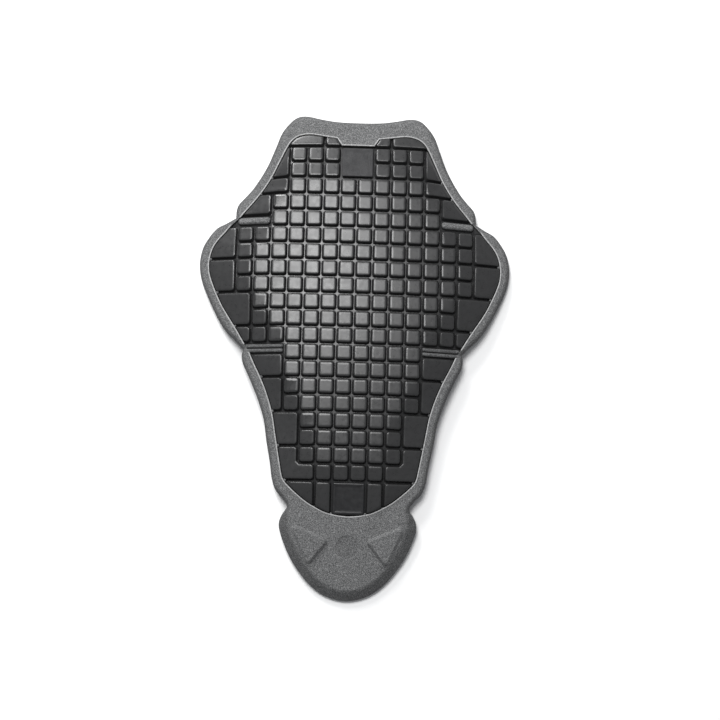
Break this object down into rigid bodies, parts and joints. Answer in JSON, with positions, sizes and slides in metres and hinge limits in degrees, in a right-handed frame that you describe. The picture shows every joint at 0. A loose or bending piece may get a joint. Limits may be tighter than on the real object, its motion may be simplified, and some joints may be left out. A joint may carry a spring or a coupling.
{
  "type": "motorcycle back protector insert",
  "caption": "Soft back protector insert: an arched grey foam carrier with a winged outline and a rounded tail, holding a black pad of square tiles.",
  "frame": {"origin": "middle of the floor under the whole object, as it lies with its tiles up", "axes": "+Z out of the tiled outer face, +Y towards the neck end, +X to the right seen from above"},
  "size_m": [0.2918, 0.4564, 0.0321],
  "materials": {
    "grey_foam": "heathered closed-cell foam, matt",
    "black_rubber": "satin moulded rubber",
    "black_textile": "fine matt textured patch"
  },
  "bodies": {
    "root": {"foam_carrier": "grey_foam", "tile_pad": "black_rubber", "neck_patch": "black_textile", "lumbar_patch": "black_rubber"}
  },
  "joints": []
}
